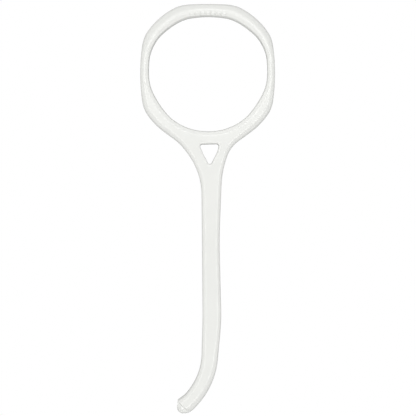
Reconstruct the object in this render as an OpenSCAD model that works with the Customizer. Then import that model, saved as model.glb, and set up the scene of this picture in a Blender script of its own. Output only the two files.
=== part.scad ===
// One-piece moulded removal hook: a finger ring, a forked neck with a small
// window, a slim stem and a curved hook with a stepped lip.
// The body lies on its back face in the plane z = 0, with the ring's centre
// at the origin, the ring towards +Y and the hook towards -Y.

/* [Finger ring] */
// Radius of the ring's outside where it is round
ring_r = 18.95; // [18.7:0.05:19.1]
// How far the round sits above the middle of the flats
ring_lift = 0.08; // [0:0.02:0.2]
// Distance from the ring's centre to the flat on its top
ring_top = 18.0; // [17.8:0.05:18.3]
// Distance from the ring's centre to each side flat
ring_side = 17.45; // [17.3:0.05:17.9]
// Blend between a flat and the next round
ring_blend = 0.7; // [0.4:0.1:1.4]

/* [Finger hole] */
// Distance from the ring's centre to the grip pad at the top of the hole
pad_reach = 14.7; // [14.3:0.05:15]
// Distance from the ring's centre to the hole's two upper slanting sides
hole_upper = 15.7; // [15.5:0.05:15.9]
// Distance from the ring's centre to the hole's two steep sides
hole_side = 15.8; // [15.6:0.05:15.9]
// Distance from the ring's centre to the hole's two lower slanting sides
hole_lower = 14.9; // [14.6:0.05:15.1]
// Distance from the ring's centre to the bottom of the hole
hole_bottom = 15.0; // [14.8:0.05:15.2]
// Direction of the lower slanting sides, below level
hole_lower_dir = 35; // [32:1:45]
// How far the hole sits towards the right of the ring's centre
hole_shift = 0.12; // [0:0.02:0.2]
// Blend between the eight soft sides of the hole
hole_blend = 2.6; // [1.6:0.1:3.2]

/* [Neck] */
// How far round from straight down the neck leaves the ring on each side
neck_spread = 36; // [32:1:40]
// Length of the straight run from the ring to the left shoulder
neck_left_run = 5; // [4.5:0.1:5.5]
// Length of the straight run from the ring to the right shoulder
neck_right_run = 6.5; // [6.2:0.1:6.8]
// Radius of the broad left shoulder
shoulder_left_r = 14; // [10:0.5:15]
// Radius of the tight right shoulder
shoulder_right_r = 8; // [5:0.5:9]
// Radius that leads the neck into the stem
neck_foot_r = 18; // [14:0.5:19]
// Height of the neck's foot below the ring's centre
neck_foot = 25.5; // [25:0.1:26.5]

/* [Window] */
// Width of the window's upper edge, corner to corner
window_w = 5.2; // [4.6:0.1:5.4]
// Height of the window from its upper edge to its lower corner
window_h = 5.8; // [5:0.1:6.2]
// Distance of the window's upper edge below the ring's centre
window_drop = 18.3; // [18.1:0.05:18.6]
// Corner radius of the window
window_r = 0.55; // [0.4:0.05:0.7]
// Softening radius of the window's front and back edges
window_edge_r = 0.5; // [0.3:0.05:0.6]

/* [Stem] */
// Sideways offset of the stem's waist from the ring's centre
stem_x = 0.8; // [0.6:0.05:1]
// Width of the stem at its waist
stem_w = 4.45; // [4.3:0.05:4.6]
// Width of the stem at its swell above the hook
stem_swell_w = 4.85; // [4.7:0.05:5.05]

/* [Hook] */
// Radius of the inner side of the hook
hook_r = 16; // [15:0.25:17]
// Width across the hook, between its two concentric sides
hook_w = 4.25; // [4:0.05:4.5]
// Height of the hook's centre below the ring's centre
hook_drop = 72.3; // [71.5:0.1:73]
// Turn of the hook
hook_turn = 44; // [40:1:46]
// Length of the lip, along its upright edge
lip_len = 3.5; // [3.3:0.1:3.7]
// Radius of the lip's rounded end
lip_r = 1.55; // [1.3:0.05:1.6]
// Depth of the step from the front face down to the lip
lip_step = 0.6; // [0.3:0.05:0.9]
// Slope of the lip, falling away from the step
lip_slope = 12; // [6:1:18]

/* [Section] */
// Thickness of the whole moulding
body_t = 4.0; // [3.6:0.1:5]
// Softening radius of the outer edges, front and back
edge_r = 1.0; // [0.7:0.05:1.05]
// Extra softening of the hole's edge at the grip pad
pad_soft = 0.4; // [0:0.05:0.5]
// Extra softening of the ring's outer edge over its top
crown_soft = 0.6; // [0:0.1:0.7]

/* [Grip ribs] */
// Number of small ribs on the grip pad's front edge
rib_count = 7; // [4:1:10]
// Spacing of the ribs
rib_pitch = 1.35; // [1.1:0.05:1.45]
// Radius of each rib's rounded back
rib_r = 0.26; // [0.2:0.02:0.34]

/* [Hidden] */

// Turn between neighbouring points on a rounded corner, and on the ring
corner_step = 6;
ring_step = 3;
hole_step = 4;
// Number of bands in one softened edge
bands = 4;

// Each side of a loop is a row: its direction, its distance from the centre
// and the radius it is bowed to. The ring's outside is a round with a flat on
// top and one on each side
ring_sides = [
  [100, ring_r + ring_lift, ring_r],
  [90, ring_top, 120],
  [0, ring_side, 55],
  [180, ring_side, 55]
];

// The finger hole is a soft octagon, alike on both sides: the grip pad, then
// an upper, a steep and a lower side on each hand, and the bottom
hole_half = [
  [45, hole_upper, 2000],
  [10, hole_side, 2000],
  [-hole_lower_dir, hole_lower, 25]
];
hole_sides = concat(
  [[90, pad_reach, 28]],
  hole_half,
  [[-90, hole_bottom, 29]],
  [for (h = hole_half) [180 - h[0], h[1], h[2]]]
);

function dir(a) = [cos(a), sin(a)];
function unit(v) = v/norm(v);

// Distance from the centre to a side bowed to radius r, in direction t
function bowed(t, s) =
  let (c = (s[1] - s[2])*dir(s[0]), b = dir(t)*c)
  b + sqrt(s[2]*s[2] - c*c + b*b);
// Smaller of two distances, with a soft change from one to the other
function soft_min(a, b, k) =
  let (h = max(k - abs(a - b), 0)/k) min(a, b) - h*h*k/4;
// Distance from the centre to a loop of softly joined sides
function reach(t, sides, k, i) =
  i == 0 ? bowed(t, sides[0])
         : soft_min(reach(t, sides, k, i - 1), bowed(t, sides[i]), k);
function loop_point(t, sides, k) = reach(t, sides, k, len(sides) - 1)*dir(t);

// Points of a corner at b, between a and c, rounded to radius r
function corner(a, b, c, r) =
  let (u = unit(a - b), v = unit(c - b), h = acos(u*v)/2,
       m = b + unit(u + v)*r/sin(h), s = b + u*r/tan(h),
       turn = sign(cross(b - a, c - b)),
       n = max(2, ceil((180 - 2*h)/corner_step)),
       a0 = atan2(s[1] - m[1], s[0] - m[0]))
  [for (i = [0:n]) m + r*dir(a0 + turn*(180 - 2*h)*i/n)];

// The ring's outside, from the right of the neck over the top to the left
neck_left_dir = 270 - neck_spread;
neck_right_dir = -90 + neck_spread;
ring_n = round((neck_left_dir - neck_right_dir)/ring_step);
ring_pts = [for (i = [0:ring_n])
  loop_point(neck_right_dir + (neck_left_dir - neck_right_dir)*i/ring_n,
             ring_sides, ring_blend)];

// The neck leaves the ring on its tangents
left_tangent = unit(ring_pts[ring_n] - ring_pts[ring_n - 1]);
right_tangent = unit(ring_pts[0] - ring_pts[1]);

// The hook's two sides are arcs about one centre, which lies level with the
// end of the stem
hook_c = [stem_x - stem_w/2 - 0.1 - hook_r, -hook_drop];
hook_out_r = hook_r + hook_w;
// Along the hook at its end, and the inner and outer ends of its sides
hook_end_dir = dir(-90 - hook_turn);
hook_in_end = hook_c + hook_r*dir(-hook_turn);
hook_out_end = hook_c + hook_out_r*dir(-hook_turn);
arc_n = ceil(hook_turn/corner_step);
// The inner side flares a little up to the lip's corner
lip_corner = hook_in_end + 2.1*dir(-100 - hook_turn);
lip_end_y = lip_corner[1] - lip_len;

// Left and right edges of the stem at its waist and its swell
waist_y = -43;
swell_y = -64;
waist = [stem_x - stem_w/2, stem_x + stem_w/2];
swell = [waist[0] + 0.15, waist[0] + 0.15 + stem_swell_w];

// Corners down the left side of the neck and stem: x, y and radius
left_guide = [
  concat(ring_pts[ring_n] + neck_left_run*left_tangent, shoulder_left_r),
  [waist[0] - 0.2, -neck_foot, neck_foot_r],
  [waist[0], waist_y, 150],
  [swell[0], swell_y, 150]
];
// Corners round the lip
lip_guide = [
  [lip_corner[0], lip_corner[1], 0.2],
  [lip_corner[0] - 0.4, lip_end_y, lip_r],
  // on the tangent from the end of the hook's outer side
  concat(hook_out_end
         + (hook_out_end[1] - lip_end_y)/cos(hook_turn)*hook_end_dir, 3.5)
];
// Corners up the right side of the stem and neck
right_guide = [
  [swell[1], swell_y, 60],
  [waist[1], waist_y, 150],
  [waist[1] + 0.7, -neck_foot, 1.35*neck_foot_r],
  concat(ring_pts[0] + neck_right_run*right_tangent, shoulder_right_r)
];

// Points of the corners in g, on the way from point a to point b
function corners(a, g, b) =
  let (c = concat([a], [for (r = g) [r[0], r[1]]], [b]))
  [for (i = [0:len(g) - 1]) each corner(c[i], c[i + 1], c[i + 2], g[i][2])];
// The hook's outer side starts where the stem's right edge touches it
out_start = -5;

body_pts = concat(
  ring_pts,
  corners(ring_pts[ring_n], left_guide, hook_c + [hook_r, 0]),
  [for (i = [0:arc_n]) hook_c + hook_r*dir(-hook_turn*i/arc_n)],
  corners(hook_in_end, lip_guide, hook_out_end),
  [for (i = [0:arc_n])
    hook_c + hook_out_r*dir(-hook_turn + (hook_turn + out_start)*i/arc_n)],
  corners(hook_c + hook_out_r*dir(out_start), right_guide, ring_pts[0])
);

hole_n = round(360/hole_step);
hole_pts = [for (i = [0:hole_n - 1])
  [hole_shift, 0] + loop_point(360*i/hole_n, hole_sides, hole_blend)];

// The window: a triangle on its point, with slightly bowed sides
window_x = stem_x - 0.42;
window_guide = [
  [window_x - window_w/2, -window_drop - 0.1, window_r],
  [window_x - window_w*0.29, -window_drop - window_h*0.46, 8],
  [window_x + 0.2, -window_drop - window_h, window_r],
  [window_x + window_w*0.42, -window_drop - window_h*0.34, 6.5],
  [window_x + window_w/2, -window_drop, window_r]
];
window_pts = [for (i = [0:len(window_guide) - 1])
  let (n = len(window_guide), a = window_guide[(i + n - 1) % n],
       b = window_guide[i], c = window_guide[(i + 1) % n])
  each corner([a[0], a[1]], [b[0], b[1]], [c[0], c[1]], b[2])];

// Inward direction at point i of a loop that runs anticlockwise
function inward(p, i) =
  let (n = len(p), a = p[(i + n - 1) % n], b = p[i], c = p[(i + 1) % n],
       u = unit(b - a), v = unit(c - b), t = unit(u + v))
  [-t[1], t[0]];

// Softening of the outer edge: wider over the top of the ring, nearly sharp
// along the lip
function body_soft(p) =
  p[1] > lip_corner[1] + 0.05 || p[0] > -6.6
    ? edge_r + crown_soft*pow(max(0, p[1])/norm(p), 1.5)
    : min(edge_r, 0.12 + 0.3*max(0, lip_corner[1] - p[1] - 0.1));
// Softening of the hole's edge: a little more at the grip pad
function hole_soft(p) = edge_r + pad_soft*pow(max(0, p[1])/norm(p), 3);

// Bands of a plate with softened edges: height as a fraction of body_t is
// set by the band, and how far the loop is drawn in is set by the point
// Each row is [side, turn]: side -1 is the back edge, 1 the front edge
levels = concat([for (i = [0:bands]) [-1, 90 - 90*i/bands]],
                [for (i = [0:bands]) [1, 90*i/bands]]);

// A plate whose outline is p and whose edges are softened by s
module soft_plate(p, s) {
  n = len(p);
  m = len(levels);
  nrm = [for (i = [0:n - 1]) inward(p, i)];
  polyhedron(
    points = [for (l = levels) for (i = [0:n - 1])
      let (q = p[i] + nrm[i]*s[i]*(1 - cos(l[1])))
      [q[0], q[1],
       l[0] < 0 ? s[i]*(1 - sin(l[1])) : body_t - s[i]*(1 - sin(l[1]))]],
    faces = concat(
      [[for (i = [0:n - 1]) i]],
      [[for (i = [0:n - 1]) (m - 1)*n + n - 1 - i]],
      [for (j = [0:m - 2]) for (i = [0:n - 1]) each
        [[j*n + i, (j + 1)*n + i, j*n + (i + 1) % n],
         [j*n + (i + 1) % n, (j + 1)*n + i, (j + 1)*n + (i + 1) % n]]]
    ),
    convexity = 10
  );
}

// A cutter whose outline is p and that flares by s at both faces
module flared_cutter(p, s) {
  n = len(p);
  over = 0.06;
  rows = concat([[-1, 90, 1]], [for (l = levels) [l[0], l[1], 0]],
                [[1, 90, 1]]);
  m = len(rows);
  nrm = [for (i = [0:n - 1]) inward(p, i)];
  polyhedron(
    points = [for (l = rows) for (i = [0:n - 1])
      let (q = p[i] - nrm[i]*(s[i]*(1 - cos(l[1])) + l[2]*2*over),
           z = s[i]*(1 - sin(l[1])) - over*l[2])
      [q[0], q[1], l[0] < 0 ? z : body_t - z]],
    faces = concat(
      [[for (i = [0:n - 1]) i]],
      [[for (i = [0:n - 1]) (m - 1)*n + n - 1 - i]],
      [for (j = [0:m - 2]) for (i = [0:n - 1]) each
        [[j*n + i, (j + 1)*n + i, j*n + (i + 1) % n],
         [j*n + (i + 1) % n, (j + 1)*n + i, (j + 1)*n + (i + 1) % n]]]
    ),
    convexity = 10
  );
}

// The ribs: short rounded bars that wrap the softened edge of the grip pad
module grip_ribs() {
  r = edge_r + pad_soft;
  for (i = [0:rib_count - 1]) {
    x = rib_pitch*(i - (rib_count - 1)/2);
    t = atan2(pad_reach, x);
    c = [hole_shift, 0] + loop_point(t, hole_sides, hole_blend);
    translate([c[0], c[1] + r + 0.02, body_t - r])
      rotate([0, 0, (t - 90)*0.6]) rotate([0, 90, 0])
        rotate([0, 0, -160]) rotate_extrude(angle = 52, $fn = 36)
          translate([r - 0.12, 0]) circle(r = rib_r, $fn = 10);
  }
}

// The step: removes the front of the hook's end above the sloping lip
module lip_cutter() {
  translate([lip_corner[0], lip_corner[1], body_t - lip_step])
    rotate([0, 0, -hook_turn])
      rotate([-lip_slope, -5, 0]) translate([-3, -8, 0])
        cube([12, 8, 6]);
}

module ring_hook_body() {
  color("#eff0ec")
    resize([0, 0, body_t]) difference() {
      union() {
        difference() {
          soft_plate(body_pts, [for (p = body_pts) body_soft(p)]);
          flared_cutter(hole_pts, [for (p = hole_pts) hole_soft(p)]);
        }
        grip_ribs();
      }
      flared_cutter(window_pts, [for (p = window_pts) window_edge_r]);
      lip_cutter();
    }
}

ring_hook_body();
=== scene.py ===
"""Looks for the one-piece moulded removal hook: a finely meshed moulding with
rounded edges, grip ribs and a stepped lip, in glossy off-white plastic."""

import math

import bpy
import numpy as np
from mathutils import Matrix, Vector
from mathutils.geometry import delaunay_2d_cdt


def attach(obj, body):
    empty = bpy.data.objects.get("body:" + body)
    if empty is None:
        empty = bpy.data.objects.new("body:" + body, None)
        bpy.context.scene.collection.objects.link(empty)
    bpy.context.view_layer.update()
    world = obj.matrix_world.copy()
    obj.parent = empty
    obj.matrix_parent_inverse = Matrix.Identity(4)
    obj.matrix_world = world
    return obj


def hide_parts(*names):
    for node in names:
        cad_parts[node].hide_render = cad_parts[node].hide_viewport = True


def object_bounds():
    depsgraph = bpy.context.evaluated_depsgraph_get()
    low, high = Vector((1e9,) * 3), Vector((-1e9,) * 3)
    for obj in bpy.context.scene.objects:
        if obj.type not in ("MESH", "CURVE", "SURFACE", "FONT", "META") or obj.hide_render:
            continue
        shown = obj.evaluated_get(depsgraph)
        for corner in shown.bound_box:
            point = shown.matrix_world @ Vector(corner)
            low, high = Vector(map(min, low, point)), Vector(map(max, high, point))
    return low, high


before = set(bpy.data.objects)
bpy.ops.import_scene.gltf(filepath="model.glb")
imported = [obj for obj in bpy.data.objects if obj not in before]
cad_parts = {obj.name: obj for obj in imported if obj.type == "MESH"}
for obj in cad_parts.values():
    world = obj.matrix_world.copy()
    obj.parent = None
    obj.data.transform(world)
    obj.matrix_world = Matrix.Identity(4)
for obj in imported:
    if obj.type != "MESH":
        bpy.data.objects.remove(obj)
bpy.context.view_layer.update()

# ---------------------------------------------------------------- dimensions
# The same design dimensions as the CAD source, in millimetres.
MM = 0.001
BODY_T = 4.0
EDGE_R = 0.98
PAD_SOFT = 0.35

RING_R, RING_LIFT = 18.95, 0.08
RING_TOP, RING_SIDE, RING_BLEND = 18.0, 17.45, 0.7
RING_SIDES = [(100, RING_R + RING_LIFT, RING_R), (90, RING_TOP, 120),
              (0, RING_SIDE, 55), (180, RING_SIDE, 55)]

PAD_REACH, HOLE_UPPER, HOLE_SIDE = 14.7, 15.7, 15.8
HOLE_LOWER, HOLE_BOTTOM, HOLE_LOWER_DIR = 14.9, 15.0, 35
HOLE_SHIFT, HOLE_BLEND = 0.12, 2.6
HOLE_HALF = [(45, HOLE_UPPER, 2000), (10, HOLE_SIDE, 2000),
             (-HOLE_LOWER_DIR, HOLE_LOWER, 25)]
HOLE_SIDES = ([(90, PAD_REACH, 28)] + HOLE_HALF + [(-90, HOLE_BOTTOM, 29)]
              + [(180 - a, d, r) for a, d, r in HOLE_HALF])

NECK_SPREAD, NECK_LEFT_RUN, NECK_RIGHT_RUN = 36, 5.0, 6.5
SHOULDER_LEFT_R, SHOULDER_RIGHT_R = 14, 8
NECK_FOOT_R, NECK_FOOT = 18, 25.5

WINDOW_W, WINDOW_H, WINDOW_DROP = 5.2, 5.8, 18.3
WINDOW_R, WINDOW_EDGE_R = 0.55, 0.35

STEM_X, STEM_W, STEM_SWELL_W = 0.8, 4.45, 4.85
HOOK_R, HOOK_W, HOOK_DROP, HOOK_TURN = 16.0, 4.25, 72.3, 44
LIP_LEN, LIP_R = 3.5, 1.55

RIB_COUNT, RIB_PITCH = 7, 1.35


# ------------------------------------------------------------------ outlines
def direction(a):
    return np.array([math.cos(math.radians(a)), math.sin(math.radians(a))])


def unit(v):
    return v / np.hypot(v[0], v[1])


def bowed(t, side):
    """Distance from the centre, in direction t, to a side bowed to a radius."""
    a, d, r = side
    c = (d - r) * direction(a)
    b = direction(t) @ c
    return b + math.sqrt(r * r - c @ c + b * b)


def reach(t, sides, k):
    out = None
    for side in sides:
        d = bowed(t, side)
        if out is None:
            out = d
        else:
            h = max(k - abs(out - d), 0) / k
            out = min(out, d) - h * h * k / 4
    return out


def corner(a, b, c, r, step):
    """Points of the corner at b, rounded to radius r, about step mm apart."""
    u, v = unit(a - b), unit(c - b)
    h = math.acos(max(-1.0, min(1.0, float(u @ v)))) / 2
    m = b + unit(u + v) * r / math.sin(h)
    s = b + u * r / math.tan(h)
    p, q = b - a, c - b
    turn = 1.0 if p[0] * q[1] - p[1] * q[0] > 0 else -1.0
    sweep = math.pi - 2 * h
    n = max(3, math.ceil(sweep * r / step), math.ceil(math.degrees(sweep) / 5))
    a0 = math.atan2(s[1] - m[1], s[0] - m[0])
    th = a0 + turn * sweep * np.arange(n + 1) / n
    return np.c_[m[0] + r * np.cos(th), m[1] + r * np.sin(th)]


def corners(a, guide, b, step):
    chain = [np.array(a)] + [np.array(g[:2], float) for g in guide] + [np.array(b)]
    return np.vstack([corner(chain[i], chain[i + 1], chain[i + 2], g[2], step)
                      for i, g in enumerate(guide)])


def arc(c, r, a0, a1, step):
    n = max(4, math.ceil(abs(math.radians(a1 - a0)) * r / step))
    return np.array([c + r * direction(a0 + (a1 - a0) * i / n)
                     for i in range(n + 1)])


def even(p, step):
    """A closed loop walked again in even steps: step is a number or a
    function of the place."""
    q = np.vstack([p, p[:1]])
    s = np.r_[0, np.cumsum(np.hypot(*np.diff(q, axis=0).T))]
    fine = np.linspace(0, s[-1], int(s[-1] / 0.01) + 1)
    fx, fy = np.interp(fine, s, q[:, 0]), np.interp(fine, s, q[:, 1])
    if callable(step):
        w = 1.0 / step(fx, fy)
    else:
        w = np.full(len(fine), 1.0 / step)
    c = np.r_[0, np.cumsum((w[1:] + w[:-1]) / 2 * np.diff(fine))]
    n = max(12, int(round(c[-1])))
    t = np.interp(np.linspace(0, c[-1], n, endpoint=False), c, fine)
    return np.c_[np.interp(t, s, q[:, 0]), np.interp(t, s, q[:, 1])]


LEFT_DIR, RIGHT_DIR = 270 - NECK_SPREAD, -90 + NECK_SPREAD
ring = np.array([reach(t, RING_SIDES, RING_BLEND) * direction(t)
                 for t in np.linspace(RIGHT_DIR, LEFT_DIR, 600)])
left_tangent = unit(ring[-1] - ring[-2])
right_tangent = unit(ring[0] - ring[1])
hook_c = np.array([STEM_X - STEM_W / 2 - 0.1 - HOOK_R, -HOOK_DROP])
hook_out_r = HOOK_R + HOOK_W
hook_end_dir = direction(-90 - HOOK_TURN)
hook_in_end = hook_c + HOOK_R * direction(-HOOK_TURN)
hook_out_end = hook_c + hook_out_r * direction(-HOOK_TURN)
lip_corner = hook_in_end + 2.1 * direction(-100 - HOOK_TURN)
lip_end_y = lip_corner[1] - LIP_LEN
WAIST_Y, SWELL_Y, OUT_START = -43, -64, -5
waist = (STEM_X - STEM_W / 2, STEM_X + STEM_W / 2)
swell = (waist[0] + 0.15, waist[0] + 0.15 + STEM_SWELL_W)
left_guide = [
    (*(ring[-1] + NECK_LEFT_RUN * left_tangent), SHOULDER_LEFT_R),
    (waist[0] - 0.2, -NECK_FOOT, NECK_FOOT_R),
    (waist[0], WAIST_Y, 150), (swell[0], SWELL_Y, 150)]
lip_guide = [
    (lip_corner[0], lip_corner[1], 0.2),
    (lip_corner[0] - 0.4, lip_end_y, LIP_R),
    (*(hook_out_end + (hook_out_end[1] - lip_end_y)
       / math.cos(math.radians(HOOK_TURN)) * hook_end_dir), 3.5)]
right_guide = [
    (swell[1], SWELL_Y, 60), (waist[1], WAIST_Y, 150),
    (waist[1] + 0.7, -NECK_FOOT, 1.35 * NECK_FOOT_R),
    (*(ring[0] + NECK_RIGHT_RUN * right_tangent), SHOULDER_RIGHT_R)]
S = 0.2
outline = np.vstack([
    ring,
    corners(ring[-1], left_guide, hook_c + [HOOK_R, 0], S),
    arc(hook_c, HOOK_R, 0, -HOOK_TURN, S),
    corners(hook_in_end, lip_guide, hook_out_end, S),
    arc(hook_c, hook_out_r, -HOOK_TURN, OUT_START, S),
    corners(hook_c + hook_out_r * direction(OUT_START), right_guide, ring[0], S)])
hole = np.array([[HOLE_SHIFT, 0] + reach(t, HOLE_SIDES, HOLE_BLEND) * direction(t)
                 for t in np.linspace(0, 360, 720, endpoint=False)])
window_x = STEM_X - 0.42
window_guide = [
    (window_x - WINDOW_W / 2, -WINDOW_DROP - 0.1, WINDOW_R),
    (window_x - WINDOW_W * 0.29, -WINDOW_DROP - WINDOW_H * 0.46, 8),
    (window_x + 0.2, -WINDOW_DROP - WINDOW_H, WINDOW_R),
    (window_x + WINDOW_W * 0.42, -WINDOW_DROP - WINDOW_H * 0.34, 6.5),
    (window_x + WINDOW_W / 2, -WINDOW_DROP, WINDOW_R)]
wn = len(window_guide)
window = np.vstack([
    corner(np.array(window_guide[i - 1][:2]), np.array(window_guide[i][:2]),
           np.array(window_guide[(i + 1) % wn][:2]), window_guide[i][2], 0.08)
    for i in range(wn)])


def near_lip(x, y):
    return np.hypot(x - lip_corner[0] - 1.0, y - lip_corner[1] + 1.2)


outline = even(outline, lambda x, y: np.clip(0.02 + 0.05 * near_lip(x, y), 0.09, 0.34))
hole = even(hole, lambda x, y: np.where((abs(x) < 6.4) & (y > 0), 0.12, 0.32))
window = even(window, 0.11)


# ------------------------------------------------------------------- surface
def normals(p):
    """Inward unit normals of an anticlockwise loop."""
    a, b = unit_rows(p - np.roll(p, 1, 0)), unit_rows(np.roll(p, -1, 0) - p)
    t = unit_rows(a + b)
    return np.c_[-t[:, 1], t[:, 0]]


def unit_rows(v):
    return v / np.maximum(np.linalg.norm(v, axis=1), 1e-12)[:, None]


def nearest(q, p):
    """For each point of q: its distance to the closed loop p, the nearest
    point on the loop and that point's place along it."""
    a, b = p, np.roll(p, -1, 0)
    e = b - a
    ee = (e * e).sum(1)
    dist, near, place = np.empty(len(q)), np.empty((len(q), 2)), np.empty(len(q))
    for s in range(0, len(q), 1500):
        x = q[s:s + 1500, None, :]
        t = np.clip(((x - a) * e).sum(2) / ee, 0, 1)
        f = a + t[:, :, None] * e
        d = ((x - f) ** 2).sum(2)
        k = d.argmin(1)
        i = np.arange(len(k))
        dist[s:s + 1500] = np.sqrt(d[i, k])
        near[s:s + 1500] = f[i, k]
        place[s:s + 1500] = k + t[i, k]
    return dist, near, place


def along(values, place):
    """Values given at a loop's points, read between them."""
    k = np.floor(place).astype(int)
    t = place - k
    v0, v1 = values[k % len(values)], values[(k + 1) % len(values)]
    if values.ndim > 1:
        t = t[:, None]
    return v0 + t * (v1 - v0)


def inside(q, p):
    """Which points of q lie inside the closed loop p."""
    out = np.zeros(len(q), bool)
    a, b = p, np.roll(p, -1, 0)
    for s in range(0, len(q), 4000):
        x, y = q[s:s + 4000, 0:1], q[s:s + 4000, 1:2]
        cross = (a[:, 1] > y) != (b[:, 1] > y)
        with np.errstate(divide="ignore", invalid="ignore"):
            xx = a[:, 0] + (y - a[:, 1]) / (b[:, 1] - a[:, 1]) * (b[:, 0] - a[:, 0])
        out[s:s + 4000] = (cross & (x < xx)).sum(1) % 2 == 1
    return out


def smoothstep(x):
    x = np.clip(x, 0, 1)
    return x * x * (3 - 2 * x)


ALONG, OUT = direction(-HOOK_TURN), direction(-90 - HOOK_TURN)
STEP_RUN, LIP_SLOPE, LIP_STEP, LIP_FALL = 0.40, 1.5, 0.75, 0.15
o_n, h_n, w_n = normals(outline), -normals(hole), -normals(window)

# Softened edges, `wide` across the face and `deep` down the wall
OUTER_BEVEL, INNER_BEVEL = math.tan(math.radians(30)), math.tan(math.radians(22))
BEVEL_EASE, OUTER_ROLL, INNER_ROLL = 0.35, 0.66, 0.75
EDGE_W, TIP_W_IN, TIP_W_OUT = 1.0, 1.25, 1.7
HOLE_LOW_W, HOLE_SIDE_W, PAD_W = 1.32, 1.0, 1.68
RING_LOW_W, BULL_DEEP = 1.45, 1.75
LIP_EDGE_W, LIP_ROLL_W, CORNER_DEEP = 0.12, 1.42, 1.0


def height_share(p):
    """-1 at the foot of the ring, 0 at its sides and 1 at its top."""
    return p[:, 1] / np.maximum(np.hypot(p[:, 0], p[:, 1]), 1e-9)


def hook_wide(p):
    """Width of the rounded edge along the stem and hook at the point p."""
    x, y = p[:, 0], p[:, 1]
    side = smoothstep((np.hypot(x - hook_c[0], y - hook_c[1]) - HOOK_R - 1.2) / 2)
    tip_w = TIP_W_IN + (TIP_W_OUT - TIP_W_IN) * side
    return EDGE_W + (tip_w - EDGE_W) * smoothstep((-HOOK_DROP + 6 - y) / 20)


def outer_wide(p, band):
    """Width of the rounded edge along the outline at its point p."""
    x, y = p[:, 0], p[:, 1]
    w = hook_wide(p)
    w = w + (RING_LOW_W - w) * smoothstep((y + 22) / 8)
    side_w = 1.15
    w = w + (side_w - w) * smoothstep((y + 9) / 7)
    # The upper half of the ring is rounded right up to a crest
    up = smoothstep((height_share(p) - 0.02) / 0.30) * (y > -18)
    full = np.clip(band - inner_wide(p), 1.0, 2.4)
    w = w + (full - w) * up
    lip = (y < lip_corner[1] + 0.06) & (x < -6.0)
    roll = smoothstep((lip_corner[1] - y - 0.4) / 2.6)
    return np.where(lip, LIP_EDGE_W + (LIP_ROLL_W - LIP_EDGE_W) * roll, w)


def inner_wide(p):
    """Width of the rounded edge along the finger hole."""
    h = height_share(p)
    return (HOLE_SIDE_W + (PAD_W - HOLE_SIDE_W) * smoothstep((h - 0.35) / 0.62)
            + (HOLE_LOW_W - HOLE_SIDE_W) * smoothstep(-h / 0.45))


def edges_at(q):
    """For points of the plan, each edge's distance, outward direction, width,
    depth and bevel."""
    d_o, p_o, s_o = nearest(q, outline)
    d_h, p_h, s_h = nearest(q, hole)
    d_w, p_w, s_w = nearest(q, window)
    band = d_o + d_h
    w_o, w_h = outer_wide(p_o, band), inner_wide(p_h)
    tight = np.minimum(1, band / (w_o + w_h))
    w_o, w_h = w_o * tight, w_h * tight
    b_o = np.minimum(w_o, BULL_DEEP)
    b_h = np.minimum(w_h, BULL_DEEP)
    w_w = np.full(len(q), WINDOW_EDGE_W)
    return [(d_o, -unit_rows(along(o_n, s_o)), w_o, b_o, OUTER_BEVEL),
            (d_h, -unit_rows(along(h_n, s_h)), w_h, b_h, INNER_BEVEL),
            (d_w, -unit_rows(along(w_n, s_w)), w_w, w_w * 1.2, INNER_BEVEL)]


def near_tip(q):
    rel = q - lip_corner
    return (rel @ OUT > -2.6) & (q[:, 1] < -80)


WINDOW_EDGE_W = 0.6


def drop(d, w, b, steep):
    """How far an edge lies below the face at d in from it, and its slope: a
    gentle bevel that eases in from the face, then a rolled rim."""
    x = np.clip(1 - d / w, 0, 0.99999)
    ease = np.minimum(x / BEVEL_EASE, 1)
    bevel = steep * w * (x * ease - ease * ease * BEVEL_EASE / 2)
    flat = np.where(steep > INNER_BEVEL, OUTER_ROLL, INNER_ROLL)
    t = np.clip((x - flat) / (1 - flat), 0, 0.99999)
    r = np.sqrt(1 - t * t)
    deep = b - steep * w * (1 - BEVEL_EASE / 2)
    return (bevel + deep * (1 - r),
            steep * ease + deep / (w * (1 - flat)) * t / r)


def lip_share(q):
    """0 on the hook's face, 1 past the step in front of the lip."""
    rel = q - lip_corner
    s = rel @ OUT
    return smoothstep(s / STEP_RUN) * (q[:, 1] < -80), rel @ ALONG, s


# The outline with the hook's inner side run straight on past the lip's corner:
# the hook's own rounded edges follow it right up to the step.
i_corner = int(np.hypot(*(outline - lip_corner).T).argmin())
i_foot = i_corner + int(np.flatnonzero(outline[i_corner:, 1] < lip_end_y + 0.01)[0])
i_roll = i_corner + int(np.flatnonzero(outline[i_corner:, 1] < lip_end_y + LIP_R * 0.9)[0])
roll_loop = np.vstack([outline[i_roll:], [60, 0], [60, -150], [-60, -150],
                       [-60, lip_end_y + LIP_R]])
LIP_IN = unit(np.array([LIP_LEN, -0.4]))
run_on = np.vstack([outline[:i_corner - 2],
                    lip_corner + 9 * direction(-100 - HOOK_TURN),
                    [-18, lip_end_y - 6], [-9.5, lip_end_y], outline[i_foot:]])


def tip_drop(q):
    """How far the front face lies below its full height around the tip."""
    share, a, s = lip_share(q)
    d, p, _ = nearest(q, run_on)
    w = hook_wide(p)
    inner = (p - lip_corner) @ ALONG < 1.5
    soft = np.where(inner, smoothstep(1 + s / 2.2), 0)
    hook = drop(d, w, w + (CORNER_DEEP - w) * soft, OUTER_BEVEL)[0]
    d, p, _ = nearest(q, roll_loop)
    w = LIP_ROLL_W + (hook_wide(p) - LIP_ROLL_W) * smoothstep((p[:, 0] + 7) / 2.5)
    step = (LIP_STEP - LIP_FALL * a) * smoothstep((4.5 - a) / 1.5)
    edge = np.clip((q - lip_corner) @ LIP_IN, 0, None)
    lip = (drop(d, w, w, OUTER_BEVEL)[0] + step
           + drop(edge, LIP_EDGE_W, LIP_EDGE_W, 0.3)[0]
           + math.tan(math.radians(LIP_SLOPE)) * np.clip(s, 0, 9))
    return hook + share * (lip - hook)


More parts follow.
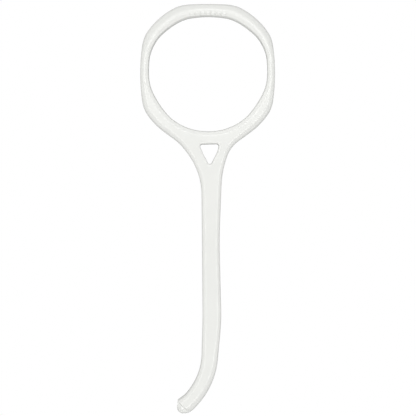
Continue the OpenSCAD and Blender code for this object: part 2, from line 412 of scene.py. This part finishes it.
def back_drop(q):
    """How far the back lies above the table around the tip, and its slope."""
    d, p, _ = nearest(q, outline)
    w = 0.6 + (hook_wide(p) - 0.6) * smoothstep(1 - (p - lip_corner) @ OUT / 2)
    return drop(d, w, w, OUTER_BEVEL)


def slope_of(f, q):
    h = 0.004
    return np.c_[f(q + [h, 0]) - f(q - [h, 0]), f(q + [0, h]) - f(q - [0, h])] / (2 * h)


def band_rows(loop, inward, wide, steps, extra):
    """Rows of points across a rounded edge, from the wall to the face."""
    rows = [loop + inward * (wide * (1 - math.cos(math.radians(90 * i / steps))))[:, None]
            for i in range(steps + 1)]
    rows.append(loop + inward * (wide + extra)[:, None])
    return rows



# Points and edges of the plan
pts, edges = [], []
for loop in (outline, hole, window):
    base = sum(len(x) for x in pts)
    pts.append(loop)
    k = len(loop)
    edges += [(base + i, base + (i + 1) % k) for i in range(k)]
o_band = nearest(outline, hole)[0]
h_band = nearest(hole, outline)[0]
o_w, h_w = outer_wide(outline, o_band), inner_wide(hole)
o_tight = np.minimum(1, o_band / (o_w + HOLE_SIDE_W))
h_tight = np.minimum(1, h_band / (h_w + 1.15))
rows = band_rows(outline, o_n, o_w * o_tight, 13, 0.10)[1:]
rows += band_rows(hole, h_n, h_w * h_tight, 13, 0.08)[1:]
rows += band_rows(window, w_n, np.full(len(window), WINDOW_EDGE_W), 8, 0.12)[1:]
free = np.vstack(rows)


free = free[~near_tip(free)]
# The tip has a fine even net, and rows of points along the step itself
G = 0.09
gx, gy = np.meshgrid(np.arange(-0.6, 6.0, G), np.arange(-2.6, 4.2, G * 0.866))
gx = gx + (np.arange(gy.shape[0]) % 2)[:, None] * G / 2
net = np.c_[gx.ravel(), gy.ravel()]
net = net[(net[:, 1] < -0.04) | (net[:, 1] > STEP_RUN + 0.04)]
for s in np.linspace(-0.02, STEP_RUN + 0.02, 7):
    a = np.arange(-0.6, 5.0, 0.06)
    net = np.vstack([net, np.c_[a, np.full(len(a), s)]])
net = lip_corner + net[:, :1] * ALONG + net[:, 1:] * OUT
rim_rows = [outline + o_n * e for e in (0.012, 0.035, 0.07)]
rim_rows = np.vstack(rim_rows)
rim_rows = rim_rows[near_tip(rim_rows)]
net = net[inside(net, outline) & (nearest(net, outline)[0] > 0.10)]
# Rows of points along the grooves between the ribs
grooves = []
for i in range(RIB_COUNT + 1):
    t = math.degrees(math.atan2(PAD_REACH, RIB_PITCH * (i - RIB_COUNT / 2)))
    c = np.array([HOLE_SHIFT, 0]) + reach(t, HOLE_SIDES, HOLE_BLEND) * direction(t)
    ax = direction(90 + (t - 90) * 0.6)
    for o in (-0.21, -0.14, -0.07, 0, 0.07, 0.14, 0.21):
        grooves += [c + ax * a + np.array([-ax[1], ax[0]]) * o
                    for a in np.arange(0.1, 1.8, 0.09)]
free = np.vstack([np.array(grooves), free, net, rim_rows])
dist = [nearest(free, loop)[0] for loop in (outline, hole, window)]
ok = (inside(free, outline) & ~inside(free, hole) & ~inside(free, window)
      & (np.minimum(np.minimum(dist[0], dist[1]), dist[2]) > 0.004))
free = free[ok]
# Where the rows of two edges cross, keep one point of each close pair
key = np.round(free / 0.03).astype(int)
_, first = np.unique(key[:, 0] * 100003 + key[:, 1], return_index=True)
tip_pts = near_tip(free)
keep_pt = np.zeros(len(free), bool)
keep_pt[first] = True
free = free[keep_pt | tip_pts]
pts.append(free)

flat_pts = np.vstack(pts)
res = delaunay_2d_cdt([Vector((float(x), float(y))) for x, y in flat_pts],
                      edges, [], 0, 1e-7)
plan = np.array([(v.x, v.y) for v in res[0]])
tris = np.array([f for f in res[2] if len(f) == 3])
mid = plan[tris].mean(1)
keep = inside(mid, outline) & ~inside(mid, hole) & ~inside(mid, window)
tris = tris[keep]
e1, e2 = plan[tris[:, 1]] - plan[tris[:, 0]], plan[tris[:, 2]] - plan[tris[:, 0]]
area = e1[:, 0] * e2[:, 1] - e1[:, 1] * e2[:, 0]
tris[area < 0] = tris[area < 0][:, ::-1]
used = np.unique(tris)
remap = -np.ones(len(plan), int)
remap[used] = np.arange(len(used))
plan, tris = plan[used], remap[tris]

# Heights and slopes
sets = edges_at(plan)
z_bot = sum(drop(d, w, b, k)[0] for d, _, w, b, k in sets)
z_top = BODY_T - z_bot
slope = np.zeros_like(plan)
for d, out_dir, w, b, k in sets:
    slope += out_dir * drop(d, w, b, k)[1][:, None]
front_slope = slope.copy()
tip = np.flatnonzero(near_tip(plan))
z_top[tip] = BODY_T - tip_drop(plan[tip])
front_slope[tip] = slope_of(tip_drop, plan[tip])
# The back is plain there, with the lip's foot rounded like the hook
z_bot[tip], steepness = back_drop(plan[tip])
slope[tip] = sets[0][1][tip] * steepness[:, None]
back_n = np.c_[slope, -np.ones(len(plan))]
front_n = np.c_[front_slope, np.ones(len(plan))]

# Ribs stand out along the surface normal of the grip pad's rounded edge
base_n = unit_rows(front_n)


def ribs(q):
    lift = np.zeros(len(q))
    for i in range(RIB_COUNT):
        x = RIB_PITCH * (i - (RIB_COUNT - 1) / 2)
        t = math.degrees(math.atan2(PAD_REACH, x))
        c = np.array([HOLE_SHIFT, 0]) + reach(t, HOLE_SIDES, HOLE_BLEND) * direction(t)
        ax = direction(90 + (t - 90) * 0.6)
        r2 = q - c
        along, across = r2 @ ax, abs(r2 @ np.array([-ax[1], ax[0]]))
        ends = smoothstep((along - 0.08) / 0.35) * smoothstep((1.7 - along) / 0.8)
        lift = np.maximum(lift, RIB_UP * ends
                          * (1 - np.clip(across / (RIB_PITCH / 2), 0, 1) ** 3))
    return lift


RIB_UP = 0.26
pad_v = np.flatnonzero((plan[:, 1] > 12) & (abs(plan[:, 0]) < 8) & (sets[1][0] < 2.2))
rib = np.zeros(len(plan))
rib[pad_v] = ribs(plan[pad_v])
q = plan[pad_v]
lean = slope_of(ribs, q)
nz = base_n[pad_v, 2]
# The lift's slope along the surface, seen in the plan
front_n[pad_v] = unit_rows(front_n[pad_v]) - np.c_[lean, np.zeros(len(lean))] * np.maximum(nz, 0.25)[:, None]
top = np.c_[plan, z_top] + base_n * rib[:, None]
bottom = np.c_[plan, z_bot]

# Walls: from each rim edge of the plan, with a faint parting ridge
n = len(plan)
half = np.vstack([tris[:, [0, 1]], tris[:, [1, 2]], tris[:, [2, 0]]])
keys = set(map(tuple, half.tolist()))
rim = [(i, j) for i, j in keys if (j, i) not in keys]
nxt = dict(rim)
assert len(nxt) == len(rim)
prv = {j: i for i, j in rim}
rim_v = sorted(nxt)
row = {v: k for k, v in enumerate(rim_v)}
rv = np.array(rim_v)
fw = unit_rows(plan[[nxt[v] for v in rim_v]] - plan[rv])
bw = unit_rows(plan[rv] - plan[[prv[v] for v in rim_v]])
tg = unit_rows(fw + bw)
outward = np.c_[tg[:, 1], -tg[:, 0]]
shares = [0.15, 0.32, 0.44, 0.475, 0.5, 0.525, 0.56, 0.68, 0.85]
proud = [0.002, 0.004, 0.006, 0.010, 0.022, 0.010, 0.006, 0.004, 0.002]
verts, norms = [top, bottom], [front_n, back_n]
m = len(rv)
zt, zb = top[rv, 2], bottom[rv, 2]
full_o = [0.0] + proud + [0.0]
full_s = [0.0] + shares + [1.0]
for k, (f, o) in enumerate(zip(shares, proud), 1):
    verts.append(np.c_[plan[rv] + outward * o, zb + f * (zt - zb)])
    tilt = (full_o[k + 1] - full_o[k - 1]) / np.maximum((full_s[k + 1] - full_s[k - 1]) * (zt - zb), 1e-4)
    norms.append(np.c_[outward, -tilt])
front_n[rv] = np.c_[outward, np.full(m, 0.03)]
back_n[rv] = np.c_[outward, np.full(m, -0.03)]
verts = np.vstack(verts)
norms = unit_rows(np.vstack(norms))
faces = [tuple(t) for t in tris.tolist()]
faces += [(n + t[0], n + t[2], n + t[1]) for t in tris.tolist()]
levels = len(shares)


def wall(v, k):
    if k == 0:
        return n + v
    if k == levels + 1:
        return v
    return 2 * n + (k - 1) * m + row[v]


for i, j in sorted(rim):
    for k in range(levels + 1):
        faces.append((wall(i, k), wall(j, k), wall(j, k + 1), wall(i, k + 1)))

mesh = bpy.data.meshes.new("ring_hook_moulding")
mesh.from_pydata((verts * MM).tolist(), [], faces)
mesh.validate(verbose=True)
mesh.update()
mesh.polygons.foreach_set("use_smooth", [True] * len(mesh.polygons))
mesh.normals_split_custom_set_from_vertices(norms.tolist())
body = bpy.data.objects.new("ring_hook_moulding", mesh)
bpy.context.scene.collection.objects.link(body)
print("MESH", len(mesh.vertices), "vertices", len(mesh.polygons), "faces")

# ------------------------------------------------------------------ material
mat = bpy.data.materials.new("off_white_plastic")
mat.use_nodes = True
nt = mat.node_tree
nt.nodes.clear()
N, L = nt.nodes.new, nt.links.new
out = N("ShaderNodeOutputMaterial")
bsdf = N("ShaderNodeBsdfPrincipled")
L(bsdf.outputs[0], out.inputs[0])
geo = N("ShaderNodeNewGeometry")
pos = N("ShaderNodeVectorMath")
pos.operation = "SCALE"
pos.inputs["Scale"].default_value = 1000.0  # millimetres
L(geo.outputs["Position"], pos.inputs[0])


def noise(scale, detail=2.0, rough=0.5):
    t = N("ShaderNodeTexNoise")
    t.inputs["Scale"].default_value = scale
    t.inputs["Detail"].default_value = detail
    t.inputs["Roughness"].default_value = rough
    L(pos.outputs[0], t.inputs["Vector"])
    return t


def ramp_node(src, lo, hi, a, b):
    r = N("ShaderNodeMapRange")
    r.inputs["From Min"].default_value = lo
    r.inputs["From Max"].default_value = hi
    r.inputs["To Min"].default_value = a
    r.inputs["To Max"].default_value = b
    L(src, r.inputs["Value"])
    return r.outputs[0]


# Colour: off-white with a slow drift, as pigment and flow leave it
flow = noise(0.055, 3.0)
fine = noise(1.1, 4.0, 0.6)
mixc = N("ShaderNodeMix")
mixc.data_type = "RGBA"
mixc.inputs[6].default_value = (0.818, 0.824, 0.794, 1)
mixc.inputs[7].default_value = (0.832, 0.838, 0.808, 1)
L(ramp_node(flow.outputs[0], 0.3, 0.7, 0, 1), mixc.inputs[0])
mixf = N("ShaderNodeMix")
mixf.data_type = "RGBA"
mixf.blend_type = "MULTIPLY"
mixf.inputs[0].default_value = 1.0
L(mixc.outputs[2], mixf.inputs[6])
g = N("ShaderNodeCombineColor")
v = ramp_node(fine.outputs[0], 0.3, 0.7, 0.996, 1.0)
for k in range(3):
    L(v, g.inputs[k])
L(g.outputs[0], mixf.inputs[7])
L(mixf.outputs[2], bsdf.inputs["Base Color"])
rough = noise(0.35, 3.0)
L(ramp_node(rough.outputs[0], 0.3, 0.7, 0.17, 0.21), bsdf.inputs["Roughness"])
bsdf.inputs["IOR"].default_value = 1.5
bsdf.inputs["Specular IOR Level"].default_value = 1.0
# Surface: long shallow waves of the tool's polish and a fine orange peel
waves = noise(0.8, 2.0)
peel = noise(3.2, 3.0, 0.55)
add = N("ShaderNodeMath")
add.operation = "MULTIPLY_ADD"
L(peel.outputs[0], add.inputs[0])
add.inputs[1].default_value = 0.25
L(waves.outputs[0], add.inputs[2])
bump = N("ShaderNodeBump")
bump.inputs["Strength"].default_value = 0.5
bump.inputs["Distance"].default_value = 0.000002
L(add.outputs[0], bump.inputs["Height"])
L(bump.outputs[0], bsdf.inputs["Normal"])
mesh.materials.append(mat)

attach(body, "root")
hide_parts("ring_hook_body")

# --------------------------------------------------------------------- stage
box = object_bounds()
fm = bpy.data.meshes.new("floor")
R = 3.0
fm.from_pydata([(-R, -R, -0.0002), (R, -R, -0.0002), (R, R, -0.0002), (-R, R, -0.0002)],
               [], [(0, 1, 2, 3)])
floor = bpy.data.objects.new("floor", fm)
bpy.context.scene.collection.objects.link(floor)
fmat = bpy.data.materials.new("pale_floor")
fmat.use_nodes = True
ft = fmat.node_tree
ft.nodes.clear()
fo = ft.nodes.new("ShaderNodeOutputMaterial")
fd = ft.nodes.new("ShaderNodeBsdfDiffuse")
fd.inputs[0].default_value = (0.55, 0.55, 0.55, 1)
fe = ft.nodes.new("ShaderNodeEmission")
fe.inputs[0].default_value = (1, 1, 1, 1)
fe.inputs[1].default_value = 1.0
fx = ft.nodes.new("ShaderNodeMixShader")
lp = ft.nodes.new("ShaderNodeLightPath")
ft.links.new(lp.outputs["Is Camera Ray"], fx.inputs[0])
ft.links.new(fd.outputs[0], fx.inputs[1])
ft.links.new(fe.outputs[0], fx.inputs[2])
ft.links.new(fx.outputs[0], fo.inputs[0])
fm.materials.append(fmat)

# Soft white tent: brighter towards the top and the left of the picture,
# darker towards the horizon and around the lens, with a broad ring of light
# about the lens
TENT, TENT_HORIZON, TENT_EYE = 1.31, 0.52, 0.28
TENT_UP, TENT_LEFT, RING_LIGHT = 0.08, 0.08, 2.15
world = bpy.data.worlds.new("tent")
bpy.context.scene.world = world
world.use_nodes = True
wt = world.node_tree
wt.nodes.clear()
wo = wt.nodes.new("ShaderNodeOutputWorld")
wb = wt.nodes.new("ShaderNodeBackground")
tc = wt.nodes.new("ShaderNodeTexCoord")
sep = wt.nodes.new("ShaderNodeSeparateXYZ")
wt.links.new(tc.outputs["Generated"], sep.inputs[0])


def wmath(op, *args):
    x = wt.nodes.new("ShaderNodeMath")
    x.operation = op
    for k, s in enumerate(args):
        if isinstance(s, (int, float)):
            x.inputs[k].default_value = s
        else:
            wt.links.new(s, x.inputs[k])
    return x.outputs[0]


# Angles from straight overhead and from the lens, 0 to 180 degrees. The lens
# looks from a little below the middle of the tent.
overhead = wmath("MULTIPLY", wmath("ARCCOSINE", sep.outputs["Z"]), 180 / math.pi)
EYE_LOW = 3.5
lens_dot = wmath("ADD",
                 wmath("MULTIPLY", sep.outputs["Z"], math.cos(math.radians(EYE_LOW))),
                 wmath("MULTIPLY", sep.outputs["Y"], -math.sin(math.radians(EYE_LOW))))
off_lens = wmath("MULTIPLY", wmath("ARCCOSINE", wmath("MINIMUM", lens_dot, 1.0)),
                 180 / math.pi)


def glow(angle, near, far, soft):
    """1 between the angles near and far, fading over soft degrees."""
    up = wt.nodes.new("ShaderNodeMapRange")
    up.interpolation_type = "SMOOTHSTEP"
    dn = wt.nodes.new("ShaderNodeMapRange")
    dn.interpolation_type = "SMOOTHSTEP"
    for nd, c, lo, hi in ((up, near, 0, 1), (dn, far, 1, 0)):
        nd.inputs["From Min"].default_value = c - soft
        nd.inputs["From Max"].default_value = c + soft
        nd.inputs["To Min"].default_value = lo
        nd.inputs["To Max"].default_value = hi
        wt.links.new(angle, nd.inputs["Value"])
    return wmath("MULTIPLY", up.outputs[0], dn.outputs[0])


def scaled(v, k):
    return wmath("MULTIPLY", v, k)


tilt = wmath("ADD", scaled(sep.outputs["Y"], TENT_UP), scaled(sep.outputs["X"], -TENT_LEFT))
tent = wmath("MULTIPLY", wmath("ADD", tilt, 1.0),
             wmath("ADD", TENT, scaled(glow(overhead, 62, 200, 25), TENT_HORIZON - TENT)))
eye = scaled(glow(off_lens, -20, 9, 2.0), 1 - TENT_EYE)
light = wmath("MULTIPLY", wmath("ADD", tent, scaled(glow(off_lens, 9, 21, 2.0), RING_LIGHT)),
              wmath("SUBTRACT", 1.0, eye))
# Nothing shines from under the floor
light = wmath("MULTIPLY", light, wmath("GREATER_THAN", sep.outputs["Z"], 0.0))
wl = wt.nodes.new("ShaderNodeLightPath")
seen = wl.outputs["Is Camera Ray"]
light = wmath("ADD", wmath("MULTIPLY", light, wmath("SUBTRACT", 1.0, seen)), seen)
wt.links.new(light, wb.inputs[1])
wt.links.new(wb.outputs[0], wo.inputs[0])

# Camera straight in front, centred on the whole object's height
cam_data = bpy.data.cameras.new("camera")
cam = bpy.data.objects.new("camera", cam_data)
bpy.context.scene.collection.objects.link(cam)
DIST = 0.401
cam.location = (0.0001, -0.03489, 0.003 + DIST)
cam.rotation_euler = (0, 0, 0)
cam_data.sensor_width = 36
cam_data.lens = 36 * DIST / 0.10772
cam_data.clip_start = 0.01
cam_data.clip_end = 20
bpy.context.scene.camera = cam
bpy.context.scene.view_settings.view_transform = "Standard"
